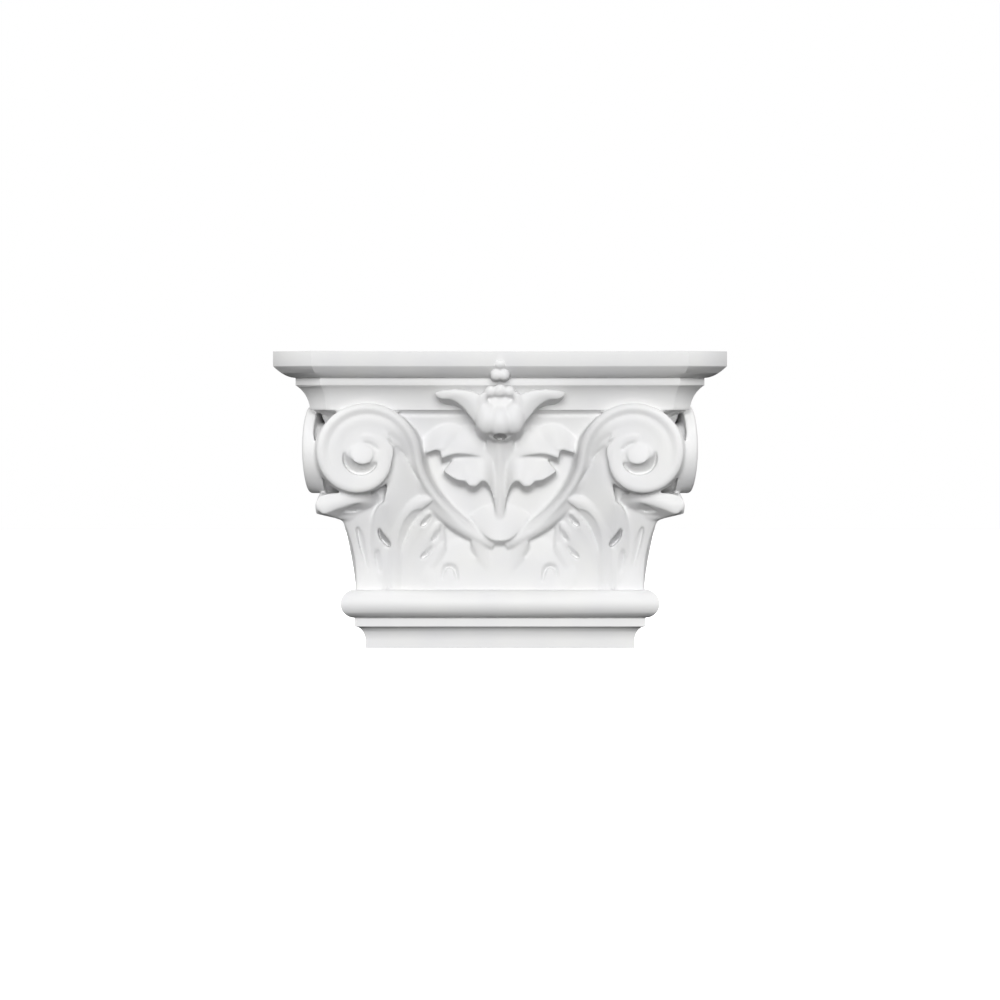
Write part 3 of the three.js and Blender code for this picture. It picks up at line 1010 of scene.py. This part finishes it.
def linear(hex_colour):
    """An sRGB hex colour as linear red, green, blue and alpha."""
    parts = [int(hex_colour[i : i + 2], 16) / 255 for i in (1, 3, 5)]
    return [*(c / 12.92 if c <= 0.04045 else ((c + 0.055) / 1.055) ** 2.4 for c in parts), 1.0]


def add_node(tree, kind, settings, links):
    """Adds a node, sets its sockets or properties by name, and links outputs to its sockets."""
    node = tree.nodes.new(kind)
    for name, value in settings.items():
        if name in node.inputs:
            node.inputs[name].default_value = value
        else:
            setattr(node, name, value)
    for name, output in links.items():
        tree.links.new(output, node.inputs[name])
    return node


def per_metre(millimetres):
    """Noise scale for a pattern of this size on Object coordinates, which are metres."""
    return 1 / (millimetres * MM)


print("white in linear light:", [round(c, 3) for c in linear("#dcdcdb")[:3]])

# %% Primer
CLOUD_SIZE, PATCH_SIZE = 35.0, 9.0
SPRAY_SKIN_SIZE = 2.4  # the real skin is about half as wide, too fine to show at this distance
SPRAY_SKIN_HEIGHT = 0.04
THIN_WHITE, THICK_WHITE = "#d7d7d8", "#dcdcdb"
LEAST_ROUGH, MOST_ROUGH = 0.5, 0.66
ACRYLIC_IOR = 1.47

primer = bpy.data.materials.new("white primer on moulded foam")
primer.use_nodes = True
coat = primer.node_tree
place = add_node(coat, "ShaderNodeTexCoord", {}, {}).outputs["Object"]
grains = [
    {"Scale": per_metre(size), "Detail": detail}
    for size, detail in ((CLOUD_SIZE, 3.0), (PATCH_SIZE, 2.0), (SPRAY_SKIN_SIZE, 1.0))
]
cloud, patch, spray = [
    add_node(coat, "ShaderNodeTexNoise", grain, {"Vector": place}) for grain in grains
]
white = add_node(coat, "ShaderNodeValToRGB", {}, {"Fac": cloud.outputs["Fac"]})
thin, thick = white.color_ramp.elements
thin.position, thick.position = 0.3, 0.7
thin.color, thick.color = linear(THIN_WHITE), linear(THICK_WHITE)
rough_range = {"To Min": LEAST_ROUGH, "To Max": MOST_ROUGH}
matt = add_node(coat, "ShaderNodeMapRange", rough_range, {"Value": patch.outputs["Fac"]})
skin_height = {"Strength": 0.5, "Distance": SPRAY_SKIN_HEIGHT * MM}
skin_bump = add_node(coat, "ShaderNodeBump", skin_height, {"Height": spray.outputs["Fac"]})
paint = coat.nodes["Principled BSDF"]
paint.inputs["IOR"].default_value = ACRYLIC_IOR
coat.links.new(white.outputs["Color"], paint.inputs["Base Color"])
coat.links.new(matt.outputs["Result"], paint.inputs["Roughness"])
coat.links.new(skin_bump.outputs["Normal"], paint.inputs["Normal"])

capital.data.materials.clear()
capital.data.materials.append(primer)
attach(capital, "root")
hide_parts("capital")
print("primer:", len(coat.nodes), "nodes")

# %% [markdown]
# ## Floor
# The photograph has no more than a white ground. A pale floor stands for it here, and glows a
# little, so that no horizon shows behind the capital. It is hidden from diffuse and glossy rays,
# because light thrown up from it would fill the dark bands under the leaves.

# %% Floor
FLOOR_SIZE, FLOOR_GLOW = 60.0, 0.5
bpy.ops.object.select_all(action="DESELECT")
bpy.ops.mesh.primitive_plane_add(size=FLOOR_SIZE)
floor = bpy.context.object
floor.name = "floor"
floor.visible_diffuse = False
floor.visible_glossy = False
pale = bpy.data.materials.new("pale studio floor")
pale.use_nodes = True
floor_paint = pale.node_tree.nodes["Principled BSDF"]
floor_paint.inputs["Base Color"].default_value = linear("#f4f4f4")
floor_paint.inputs["Emission Color"].default_value = linear("#ffffff")
floor_paint.inputs["Emission Strength"].default_value = FLOOR_GLOW
floor.data.materials.append(pale)
print("floor:", FLOOR_SIZE, "m wide")

# %% [markdown]
# ## Light
# In the photograph a wide soft light stands in front, a little above the lens, and one on each side
# lights the returns. Suns with a wide angle give such even light. A weaker one behind is for other
# views, and the world is white to the camera but gives the object only a little light.

# %% Light
WORLD_LIGHT = 0.06


def soft_sun(name, turn, height, width, strength):
    """A sun that stands at this turn from the front and this height, all in degrees."""
    bpy.ops.object.light_add(type="SUN")
    sun = bpy.context.object
    sun.name = name
    sun.data.energy = strength
    sun.data.angle = math.radians(width)
    sun.rotation_euler = (math.pi / 2 - math.radians(height), 0, math.radians(turn))


soft_sun("front light", turn=0, height=14, width=38, strength=3.6)
soft_sun("left light", turn=-90, height=30, width=40, strength=1.65)
soft_sun("right light", turn=90, height=30, width=40, strength=1.65)
soft_sun("back light", turn=180, height=25, width=40, strength=1.4)

world = bpy.data.worlds.new("white studio")
bpy.context.scene.world = world
world.use_nodes = True
studio = world.node_tree
to_camera = add_node(studio, "ShaderNodeLightPath", {}, {}).outputs["Is Camera Ray"]
glow_range = {"To Min": WORLD_LIGHT, "To Max": 1.0}
glow = add_node(studio, "ShaderNodeMapRange", glow_range, {"Value": to_camera})
backdrop = studio.nodes["Background"]
backdrop.inputs["Color"].default_value = linear("#ffffff")
studio.links.new(glow.outputs["Result"], backdrop.inputs["Strength"])
bpy.context.scene.view_settings.view_transform = "Standard"
print("four soft lights and a white world")

# %% [markdown]
# ## Camera
# The photograph is taken straight on from far away, so the camera stands level with the middle of
# the capital, and its lens is worked out so that the picture is as wide as the photograph's at the
# front of the leaves.

# %% Camera
CAMERA_BACK, FRONT_PLANE, VIEW_END = 8.0, 0.06, 100
FRAME_WIDTH = 0.7407
stand = (0, -CAMERA_BACK, HEIGHT / 2 * MM)
bpy.ops.object.camera_add(location=stand, rotation=(math.pi / 2, 0, 0))
camera = bpy.context.object
camera.data.sensor_width = 36
camera.data.lens = camera.data.sensor_width * (CAMERA_BACK - FRONT_PLANE) / FRAME_WIDTH
camera.data.clip_end = VIEW_END
bpy.context.scene.camera = camera
print(f"camera lens {camera.data.lens:.0f} mm at {CAMERA_BACK} m")
